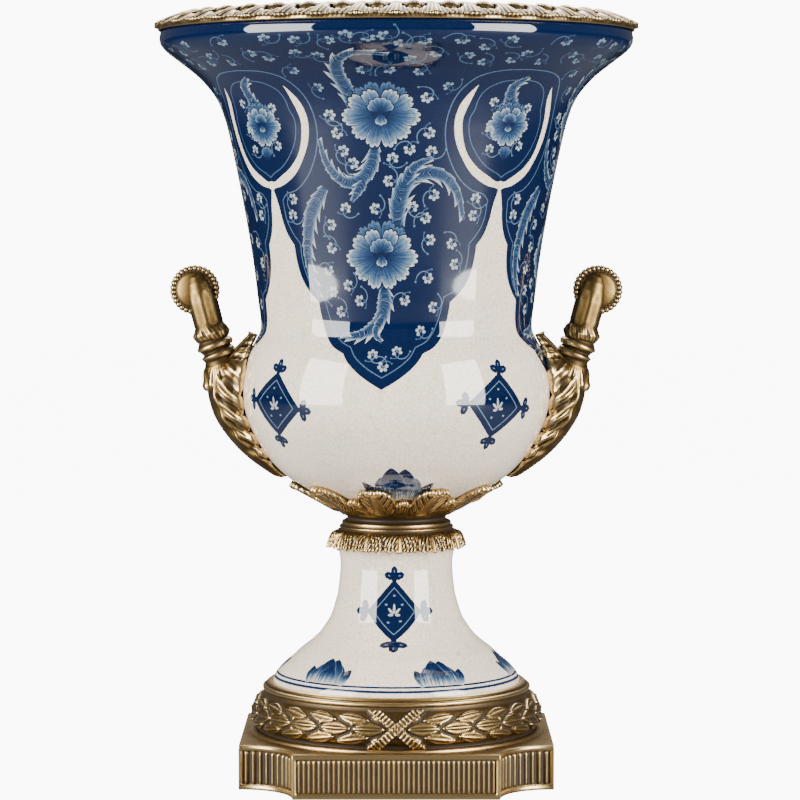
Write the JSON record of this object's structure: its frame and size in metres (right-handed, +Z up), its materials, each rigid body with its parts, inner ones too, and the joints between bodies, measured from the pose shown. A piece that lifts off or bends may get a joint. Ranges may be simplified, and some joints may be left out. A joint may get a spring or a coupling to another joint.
{
  "type": "mounted table vase",
  "caption": "Campana table vase of blue and white crackle-glazed porcelain with bronze leaf rim, roundel handles, leaf collar and a fluted square plinth.",
  "frame": {"origin": "centre of the vase on the surface it stands on", "axes": "+Z up along the vase's axis, -Y to the viewer of the picture, +X to the right-hand handle"},
  "size_m": [0.2936, 0.2936, 0.463],
  "materials": {
    "painted_porcelain": "clear gloss over cobalt painting and fine crackle",
    "pale_porcelain": "clear gloss over fine crackle",
    "bronze": "antique gold patina, rubbed bright on raised edges"
  },
  "bodies": {
    "root": {"bowl": "painted_porcelain", "foot": "pale_porcelain", "rim_mount": "bronze", "neck_collar": "bronze", "base": "bronze", "handle_right": "bronze", "handle_left": "bronze"}
  },
  "joints": []
}
